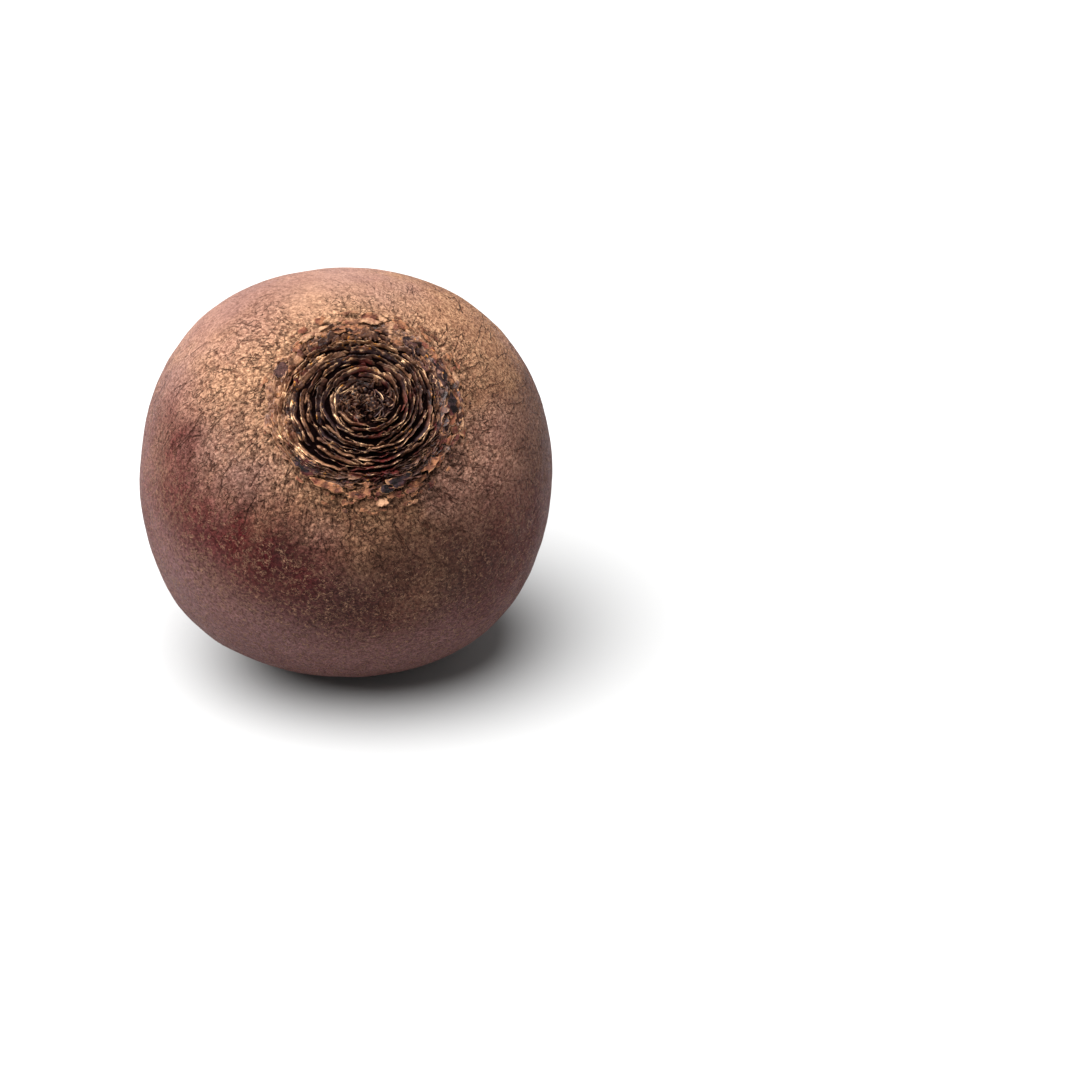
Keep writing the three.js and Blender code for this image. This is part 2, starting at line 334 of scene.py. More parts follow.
def face_outward(piece, join=0.0):
    """Turns the faces of a piece outward, after joining points closer than a given distance."""
    sheet = bmesh.new()
    sheet.from_mesh(piece.data)
    if join:
        bmesh.ops.remove_doubles(sheet, verts=sheet.verts, dist=join * MM)
    bmesh.ops.recalc_face_normals(sheet, faces=sheet.faces)
    sheet.to_mesh(piece.data)
    sheet.free()


def tube_faces(rings, around):
    """Faces of a closed tube of rings, with both ends filled."""
    faces = []
    for i in range(rings - 1):
        for j in range(around):
            a = i * around + j
            b = i * around + (j + 1) % around
            faces.append((a, b, b + around, a + around))
    last = (rings - 1) * around
    faces.append(tuple(range(around))[::-1])
    faces.append(tuple(range(last, last + around)))
    return faces


# Skin of the whole root

SKIN_COLUMNS = 576
CRACK_LEAN = 0.014
COLLAR_OUT = 14.2

# How far down the tan skin reaches at each turn, in degrees
TAN_REACH = [
    (0, 61), (16, 71), (45, 92), (80, 100), (120, 98), (150, 84), (170, 68), (185, 61), (205, 54),
    (225, 44), (240, 42), (260, 52), (280, 52), (300, 50), (330, 52), (360, 58),
]

# How far out the coarse cork reaches at each turn, in millimetres along the outline
CORK_REACH = [
    (0, 30), (60, 27), (100, 27), (140, 34), (180, 42), (215, 40), (250, 34), (300, 32), (360, 30),
]

# Soft patches of colour on the skin: turn, angle down, size in degrees, and strength
PATCHES = {
    "maroon": [
        (186, 84, 14, 0.35), (168, 63, 9, 0.6), (178, 58, 11, 0.85), (192, 62, 11, 0.9),
        (205, 58, 10, 0.8), (219, 51, 11, 1.0), (231, 49, 11, 1.2), (243, 52, 10, 0.9),
        (273, 62, 12, 0.5), (120, 55, 14, 0.25), (16, 80, 12, 0.5), (60, 110, 30, 0.5),
        (140, 120, 26, 0.6), (320, 70, 20, 0.6), (250, 120, 30, 0.4),
    ],
    # Dark spots of the root's own colour, and from turn 262 round to 2 degrees a painted shadow, as cast
    # by a neighbour standing close at the lower right
    "dark": [
        (234, 48, 9, 0.95), (262, 57, 14, 0.9), (276, 50, 16, 1.0), (298, 52, 18, 0.9),
        (2, 54, 16, 0.7), (246, 56, 10, 0.5), (40, 100, 24, 0.4),
    ],
    "golden": [
        (108, 34, 16, 0.8), (150, 30, 16, 0.9), (160, 42, 12, 0.8), (186, 27, 12, 0.7),
        (48, 34, 14, 0.6), (25, 40, 12, 0.4), (92, 27, 12, 0.9), (180, 26, 10, 0.9),
        (128, 28, 12, 0.8), (225, 26, 8, 0.6),
    ],
    "mauve": [
        (184, 46, 12, 0.9), (203, 40, 11, 1.0), (117, 60, 16, 0.8), (88, 54, 14, 0.6),
        (66, 50, 12, 0.6), (152, 66, 14, 0.7), (214, 80, 16, 1.0), (236, 80, 16, 0.9),
        (300, 90, 30, 0.6),
    ],
}

# Patches where the skin is smoother, given in the same way
CALM_PATCHES = [(92, 58, 26, 1.0), (130, 70, 24, 0.8)]


def root_profile():
    """The outline of the root as closely spaced points from the crown's middle to the tip."""
    out_top = np.linspace(0, DISH_RADIUS, 200)
    sunk = 1.5 * (1 - smooth(COLLAR_OUT - 1.2, COLLAR_OUT, out_top))
    top = np.stack([out_top, top_height(out_top) - sunk], axis=1)
    first = math.asin((DISH_RADIUS / EQUATOR_RADIUS) ** (SHOULDER_POWER / 2))
    out, height = globe(np.linspace(first, math.radians(160), 1200)[1:])
    fused = np.cbrt(out**3 + root_radius(-height) ** 3)
    above = height > 0
    side = np.stack([np.where(above, out, fused), np.where(above, top_height(out), height)], axis=1)
    deep = np.linspace(-height[-1], BASE_DEPTH + ROOT_LENGTH, 500)[1:]
    cosine = np.minimum(1, deep / BASE_DEPTH) ** (BASE_POWER / 2)
    globe_out = EQUATOR_RADIUS * np.sin(np.arccos(cosine)) ** (2 / BASE_POWER)
    tail = np.stack([np.cbrt(globe_out**3 + root_radius(deep) ** 3), -deep], axis=1)
    return np.concatenate([top, side, tail])


def skin_rows():
    """Distances along the outline of the skin's rows: close together round the crown."""
    rows = [0.0, 3.0, 6.0, 9.0, 11.5, 13.0]
    while rows[-1] < 400:
        s = rows[-1]
        widened = 0.23 * smooth(24, 36, s) + 0.2 * smooth(50, 75, s) + 0.3 * smooth(80, 110, s)
        rows.append(s + 0.27 + widened)
    return np.array(rows)


def patches(turn, down, spots, ragged):
    """Soft patches at a turn and an angle down, each with its size in degrees and its strength."""
    total = 0
    for other_turn, other_down, size, strength in spots:
        apart = apart_on_globe(turn, down, other_turn, other_down) + ragged
        total = np.maximum(total, strength * np.exp(-((apart / size) ** 2)))
    return total


def skin_fields(turn, along, out, height):
    """Where the skin is corky, tan, maroon or crusted, from the way the real one is coloured, with a
    painted shadow on its lower right and a painted reflection of the floor underneath.
    """
    down = np.arctan2(out, height)
    degrees = np.degrees(down)
    turns, reaches = np.array(TAN_REACH).T
    reach = np.interp(np.degrees(turn) % 360, turns, reaches)
    cloud = np.stack([np.cos(turn) * out, np.sin(turn) * out, height], axis=-1)
    ragged = 7 * layered(cloud / 9, 4, 31)
    tan = 1 - smooth(-34, 30, degrees + ragged - reach)
    edges = 5 * layered(cloud / 7, 4, 47)
    coloured = {name: patches(turn, down, spots, edges) for name, spots in PATCHES.items()}
    turns, reaches = np.array(CORK_REACH).T
    cork_reach = np.interp(np.degrees(turn) % 360, turns, reaches)
    cork = 1 - smooth(-10, 10, along - cork_reach + 5 * layered(cloud / 6, 3, 53))
    left = smooth(0.3, 1.0, np.cos(turn - SKIN_LEFT))
    crust = 1 - smooth(16.2, 20.5, along + 4.2 * left + 1.8 * layered(cloud / 2.2, 3, 61))
    # Lower part of the root, where the bare skin is made greyer and paler as a painted reflection of the
    # pale floor, and the grain calmer
    low = smooth(58, 84, degrees)
    calm = np.maximum(patches(turn, down, CALM_PATCHES, edges), 0.2 * low)
    flow = flow_of(turn, along)
    return {"tan": tan, **coloured, "cork": cork, "crust": crust, "low": low, "calm": calm, "flow": flow}


def flow_of(turn, along):
    """Places on a sleeve on which the skin's long cracks, which lean as they run outward, are straight."""
    leaned = turn - CRACK_LEAN * (along - DISH_RADIUS)
    return np.stack([22 * np.cos(leaned), 22 * np.sin(leaned), 0.3 * along], axis=-1)


def skin_relief(cloud, turn, along, out, height, fields):
    """How far the skin stands out or in, in millimetres, and how deep in a crack or hollow it is, for a
    painted shade there.
    """
    cork, crust = fields["cork"], fields["crust"]
    wander = wander_of(cloud, 2.4, 70)
    _, border, own = cells(cloud / 1.5 + 0.35 * wander, 3)
    crack = 1 - smooth(0.02, 0.2, border)
    split = 1 - smooth(0.0, 0.1, np.abs(layered(fields["flow"] / 2.4 + 0.3 * wander, 3, 9)))
    split = split * smooth(-0.1, 0.3, noise(cloud / 4, 21))
    arcs = np.stack([0.4 * out * np.cos(turn), 0.4 * out * np.sin(turn), along], axis=-1)
    peel = 1 - smooth(0.02, 0.15, np.abs(layered(arcs / 1.6 + 0.4 * wander, 3, 19)))
    peel = peel * (1 - smooth(21, 29, along))
    crumbs = layered(cloud / 1.5, 4, 23)
    relief = 0.3 * layered(cloud / 16, 3, 5)
    relief += (0.05 + 0.07 * cork) * layered(cloud / 3, 4, 17)
    relief += cork * (0.2 * (own - 0.5) - 0.22 * crack - 0.32 * np.maximum(split, peel))
    relief += crust * (0.6 * crumbs - 0.1)
    on_tail = smooth(BASE_DEPTH, BASE_DEPTH + 6, -height)
    relief *= 1 - 0.55 * on_tail
    wrinkles = np.stack([4 * np.cos(turn), 4 * np.sin(turn), along], axis=-1)
    relief += on_tail * 0.22 * layered(wrinkles / 1.4, 3, 37)
    # Depth in cracks, splits, peeled edges and between crumbs, which darkens the colour as a painted shade
    hollow_shade = cork * np.maximum(0.6 * crack, np.maximum(split, peel))
    hollow_shade = np.maximum(hollow_shade, crust * smooth(0.1, -0.5, crumbs))
    return relief * smooth(COLLAR_OUT - 1, COLLAR_OUT + 1, out), hollow_shade


def stitched(upper, lower, upper_columns, lower_columns):
    """Faces between two rows, where the lower row has as many columns, or half of them."""
    faces = []
    if upper_columns == lower_columns:
        for j in range(upper_columns):
            k = (j + 1) % upper_columns
            faces.append((upper + j, lower + j, lower + k, upper + k))
        return faces
    for j in range(lower_columns):
        k = (j + 1) % lower_columns
        a, b, c = 2 * j, 2 * j + 1, (2 * j + 2) % upper_columns
        faces.append((upper + a, lower + j, upper + b))
        faces.append((upper + b, lower + j, lower + k))
        faces.append((upper + b, lower + k, upper + c))
    return faces


def make_skin(material):
    profile = root_profile()
    steps = np.linalg.norm(np.diff(profile, axis=0), axis=1)
    length = np.concatenate([[0], np.cumsum(steps)])
    rows = skin_rows()
    rows = np.append(rows[rows < length[-1] - 0.3], length[-1])
    row_out = np.interp(rows, length, profile[:, 0])
    row_height = np.interp(rows, length, profile[:, 1])
    turns = np.arange(SKIN_COLUMNS) * 2 * np.pi / SKIN_COLUMNS
    along, turn = np.meshgrid(rows, turns, indexing="ij")
    out = np.repeat(row_out[:, None], SKIN_COLUMNS, axis=1)
    height = np.repeat(row_height[:, None], SKIN_COLUMNS, axis=1)
    base = placed(out, height, turn)
    fields = skin_fields(turn, along, out, height)
    cloud = np.stack([out * np.cos(turn), out * np.sin(turn), height], axis=-1)
    relief, fields["hollow_shade"] = skin_relief(cloud, turn, along, out, height, fields)
    raised = base + normals_of(base) * relief[..., None]
    grid = lying(raised)

    counts = np.where(rows > 31, SKIN_COLUMNS // 2, SKIN_COLUMNS)
    counts = np.where((row_height < 0) & (row_out < 14), SKIN_COLUMNS // 4, counts)
    picked = [np.arange(0, SKIN_COLUMNS, SKIN_COLUMNS // n) for n in counts]
    starts = np.concatenate([[0], np.cumsum(counts)])
    faces = []
    for i in range(len(rows) - 1):
        faces.extend(stitched(int(starts[i]), int(starts[i + 1]), int(counts[i]), int(counts[i + 1])))
    gathered = {
        name: np.concatenate([values[i, picked[i]] for i in range(len(rows))])
        for name, values in fields.items()
    }
    points = np.concatenate([grid[i, picked[i]] for i in range(len(rows))])
    faces.append(tuple(range(int(starts[-2]), int(starts[-1]))))
    piece = make_piece("skin", points, faces, gathered, material)
    # The points of the first row fall together on the axis
    face_outward(piece, 0.02)
    return piece


# Crown of torn leaf bases


def plate_height(out):
    """Height of the crown's hollow floor at a distance from the axis."""
    return top_height(out) - 0.3 - CROWN_HOLLOW * (1 - smooth(0, DISH_RADIUS, out))


def on_crown(out, rise, turn):
    """A grown place on the crown, whose rings crowd together where the bud is shifted to."""
    shift = 1 - np.minimum(1, out / LAST_RING_RADIUS)
    x = out * np.cos(turn) + BUD_SHIFT[0] * shift
    y = out * np.sin(turn) * CROWN_OVAL + BUD_SHIFT[1] * shift
    from_axis = np.hypot(x, y)
    return placed(from_axis, plate_height(from_axis) + rise, np.arctan2(y, x))


def crown_ground(builder):
    """The ground between the leaf bases, painted near black as shade, coarse and crumbled in the middle.
    """
    outs = np.linspace(0.05, GROUND_RADIUS, GROUND_ROWS)
    turns = np.arange(GROUND_COLUMNS) * 2 * np.pi / GROUND_COLUMNS
    out, turn = np.meshgrid(outs, turns, indexing="ij")
    flat = np.stack([out * np.cos(turn), out * np.sin(turn), 0 * out], axis=-1)
    bud = 1 - smooth(4.0, 5.6, out)
    _, border, own = cells(flat / 0.85 + 0.3 * wander_of(flat, 1.2, 80), 83)
    grain = 0.5 * own + 0.5 * smooth(0, 0.4, border) - 0.6
    rise = bud * (grain + 0.45 * layered(flat / 2.1, 3, 91))
    rise = rise + (1 - bud) * 0.22 * layered(flat / 0.8, 3, 97)
    # The left edge of the ground, raised, and paler partly in its own colour and partly as a painted
    # highlight on the side the light comes from
    left = smooth(0.6, 1.0, np.cos(turn - CROWN_LEFT)) * smooth(12.6, 13.8, out)
    left = left * smooth(-0.5, 0.2, layered(flat / 1.1, 3, 103))
    rise = rise + 0.3 * left - 0.9 * smooth(14.2, GROUND_RADIUS, out)
    points = lying(on_crown(out, rise, turn))
    faces = []
    for i in range(GROUND_ROWS - 1):
        start = i * GROUND_COLUMNS
        faces.extend(stitched(start, start + GROUND_COLUMNS, GROUND_COLUMNS, GROUND_COLUMNS))
    lift = np.clip(0.5 + rise, 0, 1) * bud
    crest = np.maximum(0.75 * lift, 0.6 * left)
    tone = 0.4 + 0.6 * left
    builder.add(points.reshape(-1, 3), faces, crest=crest.ravel(), tone=tone.ravel(), bud=bud.ravel())


def wander_of(points, size, seed):
    """A push for each point, so that a pattern on the pushed points wanders."""
    return np.stack([layered(points / size, 3, seed + k) for k in range(3)], axis=-1)


def torn_wall(builder, radius, start, span, tall, tuck, thick, lean, seed, tone=None):
    """A dried leaf base: a thin wall with a torn crest, curving round the bud."""
    steps = max(9, int(abs(span) * radius / 0.25))
    t = np.linspace(0, 1, steps)
    turn = start + t * span
    line = np.stack([radius * np.cos(turn), radius * np.sin(turn), np.full(steps, seed * 1.7)], axis=-1)
    ends = np.minimum(1, np.minimum(t, 1 - t) * 9) ** 0.6
    torn = 1 + 0.45 * layered(line / 1.2, 4, 101) - 0.6 * smooth(0.15, 0.5, noise(line / 1.1, 107))
    crest = np.maximum(0.12, tall * torn * ends)
    wave = 0.4 * layered(line / 3.6, 4, 113) + tuck * (t - 0.5)
    outer = smooth(11.0, 13.8, radius)
    left = np.maximum(0, np.cos(turn - CROWN_LEFT)) ** 3 * (0.4 + 0.6 * outer)
    above = np.maximum(0, np.cos(turn - CROWN_TOP)) ** 2
    thick = thick * (1 + 0.9 * left)
    rings = []
    crests = []
    for side, level in WALL_PROFILE:
        rise = np.where(level > 0, crest * level, LEAF_SUNK * level)
        spot = line + np.array([0, 0, 3.0 * level + 5 * side])
        bend = wave + lean * np.maximum(0, rise) + 0.1 * layered(spot / 0.5, 2, 127) * max(0.0, level)
        out = radius + bend + thick * side * np.minimum(1, ends + 0.3)
        rings.append(lying(on_crown(out, rise, turn)))
        # Paler up the wall, so that its foot stays in painted shade, and paler still on the crown's upper
        # and left sides, partly as a painted highlight
        paling = max(0.0, level) + (0.32 * np.maximum(above, left) if level > 0.4 else 0)
        crests.append(paling * np.clip(crest / (0.6 * tall), 0, 1))
    points = np.stack(rings, axis=1).reshape(-1, 3)
    around = len(WALL_PROFILE)
    # Paler toward the crown's upper and left sides: partly their own colour and partly a painted highlight
    # on the side the light comes from
    tones = (chance(seed + 77) if tone is None else tone) + outer * (0.6 * left + 0.3 * above)
    fields = {"crest": np.stack(crests, axis=1).ravel(), "tone": np.repeat(tones, around), "bud": 0.0}
    builder.add(points, tube_faces(steps, around), **fields)


def make_crown(material):
    builder = Builder()
    crown_ground(builder)
    spacing = (LAST_RING_RADIUS - FIRST_RING_RADIUS) / (RINGS - 1)
    for ring in range(RINGS):
        leaves = FIRST_RING_LEAVES + ring // 2
        for n in range(leaves):
            seed = 40 * ring + n
            radius = FIRST_RING_RADIUS + spacing * (ring - 0.3 * chance(seed))
            span = 2 * math.pi / leaves * (0.95 + 0.2 * chance(seed + 500))
            start = (n + 0.3 * chance(seed + 900)) * 2 * math.pi / leaves + ring * GOLDEN_TURN
            tall = LEAF_HEIGHT * (0.6 + 0.6 * chance(seed + 1300))
            lean = -0.25 + 0.6 * chance(seed + 1500)
            thick = 0.3 + 0.1 * chance(seed + 1700)
            torn_wall(builder, radius, start, span, tall, spacing * 0.5, thick, lean, seed)
    for n in range(THIN_WALLS):
        ring = RINGS * (n + 0.5) / THIN_WALLS
        radius = FIRST_RING_RADIUS + spacing * (ring - 0.8 + 0.6 * chance(n + 2000))
        span = math.radians(12 + 50 * chance(n + 2100) ** 2)
        tall = LEAF_HEIGHT * (0.5 + 0.5 * chance(n + 2200))
        lean = -0.4 + 0.8 * chance(n + 2300)
        torn_wall(builder, radius, n * GOLDEN_TURN, span, tall, 0.6, 0.14, lean, 3000 + n)
    for n in range(LOWER_WALLS):
        radius = LAST_RING_RADIUS + 0.5 + 1.2 * chance(n + 2500)
        start = math.radians(180 + 200 * n / LOWER_WALLS)
        span = math.radians(12 + 20 * chance(n + 2600))
        tall = 0.9 + 0.5 * chance(n + 2700)
        torn_wall(builder, radius, start, span, tall, 0.6, 0.26, 0.3 * chance(n + 2800), 5100 + n)
    for n in range(LEFT_WALLS):
        radius = LAST_RING_RADIUS + 0.5 + 2.2 * n / LEFT_WALLS
        start = math.radians(145 + 60 * chance(n + 2550))
        span = math.radians(14 + 34 * chance(n + 2600))
        tall = 1.3 + 0.9 * chance(n + 2700)
        torn_wall(builder, radius, start, span, tall, 0.7, 0.2, 0.4 * chance(n + 2800), 5000 + n, 0.5)
    for n in range(BUD_WALLS):
        radius = 0.6 + 4.6 * math.sqrt(chance(n + 2880))
        start = 2 * math.pi * chance(n + 2890)
        span = math.radians(25 + 50 * chance(n + 2900)) * min(1, 2.5 / radius)
        tall = 0.3 + 0.4 * chance(n + 2950)
        skew = 3.6 * (chance(n + 2970) - 0.5)
        torn_wall(builder, radius, start, span, tall, skew, 0.16, 0.6 - 1.2 * chance(n + 2960), 6000 + n)
    return builder.piece("leaf_bases", material)


def make_collar(material):
    """Short torn strips round the rings, from dark near them to pale at the skin."""
    builder = Builder()
    for n in range(COLLAR_STRIPS):
        start = 2 * math.pi * chance(n + 3010)
        left = max(0.0, math.cos(start - SKIN_LEFT))
        share = chance(n + 3000)
        radius = 14.3 + (3.8 - 1.4 * left) * share**1.2
        span = math.radians(5 + 22 * chance(n + 3020) ** 1.6)
        tall = (0.8 + 0.8 * chance(n + 3030)) * (1 - 0.35 * share)
        skew = 2.0 * (chance(n + 3050) - 0.5)
        thick = 0.16 + 0.16 * chance(n + 3060)
        # Paler on the left: partly their own colour and partly a painted highlight on the side the light
        # comes from
        tone = 0.1 + 0.6 * chance(n + 3070) + 0.4 * share * chance(n + 3080) + 0.4 * left
        lean = 0.2 + 0.9 * chance(n + 3040)
        torn_wall(builder, radius, start, span, tall, skew, thick, lean, 7000 + n, tone)
    for n in range(DARK_STRIPS):
        start = math.radians(DARK_TUFTS[n % len(DARK_TUFTS)] + 18 * (chance(n + 3110) - 0.5))
        radius = 14.5 + 2.6 * chance(n + 3120)
        span = math.radians(4 + 8 * chance(n + 3130))
        tall = 1.0 + 0.7 * chance(n + 3140)
        skew = 2.6 * (chance(n + 3150) - 0.5)
        lean = 0.7 * chance(n + 3160)
        torn_wall(builder, radius, start, span, tall, skew, 0.15, lean, 7500 + n, 0.0)
    return builder.piece("collar_strips", material)


# Curled flakes round the crown


def curled_flake(builder, turn, out, long, wide, tone, seed, fine, raised=0.5):
    """A thin ragged chip of dry skin, one edge lifted and its rim curled."""
    across, down = (8, 10) if fine else (5, 6)
    u, v = np.meshgrid(np.linspace(-1, 1, across), np.linspace(-1, 1, down), indexing="ij")
    rim = np.maximum(np.abs(u), np.abs(v))
    edge = np.stack([1.6 * u, 1.6 * v, 0 * u + seed * 3.1], axis=-1)
    x = u * wide / 2 * (1 - 0.25 * v * v + 0.5 * layered(edge, 3, 131) * rim)
    y = v * long / 2 * (1 - 0.25 * u * u + 0.5 * layered(edge + 7, 3, 132) * rim)
    spot = np.stack([x, y, 0 * x + seed * 2.3], axis=-1)
    lift = math.tan(math.radians(-12 + 46 * chance(seed + 400))) * x
    curl = 0.35 * wide * (0.2 + 0.5 * chance(seed + 600)) * rim**3 * (layered(spot / 1.8, 2, 137) + 0.2)
    rise = raised + lift + curl + 0.2 * layered(spot / 0.7, 3, 139)
    thick = 0.3 * (1 - 0.6 * rim**2)
    sheets = []
    for side in (1, -1):
        reach = out + x
        height = top_height(reach) + rise + side * thick / 2
        sheets.append(lying(placed(reach, height, math.radians(turn) + y / out)))
    points = np.concatenate([sheets[0].reshape(-1, 3), sheets[1].reshape(-1, 3)])
    faces = []
    lower = across * down
    for i in range(across - 1):
        for j in range(down - 1):
            a = i * down + j
            faces.append((a, a + down, a + down + 1, a + 1))
            faces.append((lower + a, lower + a + 1, lower + a + down + 1, lower + a + down))
    loop = [(i, 0) for i in range(across)] + [(across - 1, j) for j in range(1, down)]
    loop += [(i, down - 1) for i in range(across - 2, -1, -1)] + [(0, j) for j in range(down - 2, 0, -1)]
    border = [i * down + j for i, j in loop]
    for a, b in zip(border, border[1:] + border[:1]):
        faces.append((a, lower + a, lower + b, b))
    field = np.concatenate([rim.ravel(), rim.ravel()])
    builder.add(points, faces, rim=field, tone=tone)


def make_flakes(material):
    builder = Builder()
    for n in range(SMALL_FLAKES):
        turn = n * GOLDEN_DEGREES + 20 * chance(n)
        if math.cos(math.radians(turn) - SKIN_LEFT) > 0.5:
            continue
        out = DISH_RADIUS + 0.9 + 3.6 * chance(n + 100)
        long = 1.8 + 2.2 * chance(n + 200)
        wide = 1.0 + 0.8 * chance(n + 300)
        curled_flake(builder, turn, out, long, wide, 0.15 + 0.7 * chance(n + 50) ** 1.5, n, True)
    for n, (turn, out, long, wide, tone) in enumerate(LARGE_FLAKES):
        curled_flake(builder, turn, out, long, wide, tone, SMALL_FLAKES + n, True, 1.0)
    for n in range(MEDIUM_FLAKES):
        turn = n * GOLDEN_DEGREES + 40 * chance(n + 6000)
        left = max(0.0, -math.cos(math.radians(turn)))
        if left > 0.5 and chance(n + 6050) < 0.8:
            continue
        out = 14.6 + (4.4 - 1.8 * left) * chance(n + 6100)
        long = 1.6 + 3.0 * chance(n + 6200) ** 1.5
        wide = 0.7 + 0.7 * chance(n + 6300)
        above = max(0.0, math.sin(math.radians(turn)))
        # Paler outward, and toward the left and top partly as a painted highlight on the side the light
        # comes from
        tone = 0.16 * (out - 14.6) * chance(n + 6400) + 0.3 * max(left, above)
        curled_flake(builder, turn, out, long, wide, tone, 1000 + n, True)
    for n in range(TINY_FLAKES):
        turn = n * GOLDEN_DEGREES + 40 * chance(n + 4000)
        left = max(0.0, -math.cos(math.radians(turn)))
        if left > 0.5 and chance(n + 4050) < 0.7:
            continue
        out = 15.0 + (6.0 - 2 * left) * chance(n + 4100)
        long = 0.6 + 1.6 * chance(n + 4200)
        wide = 0.3 + 0.5 * chance(n + 4300)
        above = max(0.0, math.sin(math.radians(turn)))
        # Paler outward, and toward the left and top partly as a painted highlight on the side the light
        # comes from
        tone = 0.1 * (out - 13) * chance(n + 4400) + 0.3 * max(left, above)
        curled_flake(builder, turn, out, long, wide, tone, 200 + n, False)
    return builder.piece("collar_flakes", material)


# Side roots and hair roots on the taproot


def tapered(builder, path, thickness, around, seed):
    """A thin root along a path of points, thinning to its end."""
    count = len(path)
    tangent = np.gradient(path, axis=0)
    tangent /= np.linalg.norm(tangent, axis=1, keepdims=True)
    side = np.cross(tangent, [0.3, 0.2, 0.93])
    side /= np.linalg.norm(side, axis=1, keepdims=True)
    up = np.cross(side, tangent)
    turns = np.arange(around) * 2 * np.pi / around
    t = np.linspace(0, 1, count)
    radius = thickness * (1 - 0.85 * t) * (1 + 0.2 * layered(path / 1.5, 2, 150 + seed))
    ring = side[:, None] * np.cos(turns)[:, None] + up[:, None] * np.sin(turns)[:, None]
    points = path[:, None] + ring * radius[:, None, None]
    points[..., 2] = np.maximum(points[..., 2], 0)
    builder.add(points.reshape(-1, 3), tube_faces(count, around), tone=chance(seed + 5000))


def make_rootlets(material):
    builder = Builder()
    for n in range(SIDE_ROOTS + HAIR_ROOTS):
        hair = n >= SIDE_ROOTS
        side = 1 if n % 2 else -1
        share = n / SIDE_ROOTS if not hair else chance(n + 5100)
        depth = BASE_DEPTH - 2 + share * ROOT_LENGTH * (0.9 if hair else 0.6)
        length = SIDE_ROOT_LENGTH * (0.6 + 0.6 * chance(n)) * (0.9 if hair else 1.0)
        x, y, z, lean = (float(value) for value in spine(np.array(depth)))
        spread = SIDE_ROOT_SPREAD * (1 + (0.7 * (chance(n + 5200) - 0.5) if hair else 0))
        tilt = 0.9 * (chance(n + 5300) - 0.3) if hair else 0.0
        t = np.linspace(0, 1, 22)
        wobble = np.stack([t * 3.5, t * 0, t * 0 + n], 1)
        bow = length * t * t * (chance(n + 5400) - 0.5) + 0.9 * t * layered(wobble, 3, 163)
        inner = root_radius(np.array(depth)) * 0.5 * side
        local_x = side * math.sin(spread) * length * t + bow
        local_z = -math.cos(spread) * length * t + 0.8 * t * layered(wobble + 5, 3, 167)
        local_y = tilt * length * t * 0.4 + 0.25 * layered(np.stack([t * 4, t, t * 0 + n], 1), 2, 160)
        grown = np.stack(
            [
                x + inner + local_x,
                y + local_y * math.cos(lean) - local_z * math.sin(lean),
                z + local_y * math.sin(lean) + local_z * math.cos(lean),
            ],
            axis=-1,
        )
        path = lying(grown)
        thick = 0.16 + 0.1 * chance(n + 5500) if hair else SIDE_ROOT_RADIUS * 0.8
        path[:, 2] = np.maximum(path[:, 2], 0.15)
        tapered(builder, path, thick, 5 if hair else 8, n)
    return builder.piece("rootlets", material)


# Materials


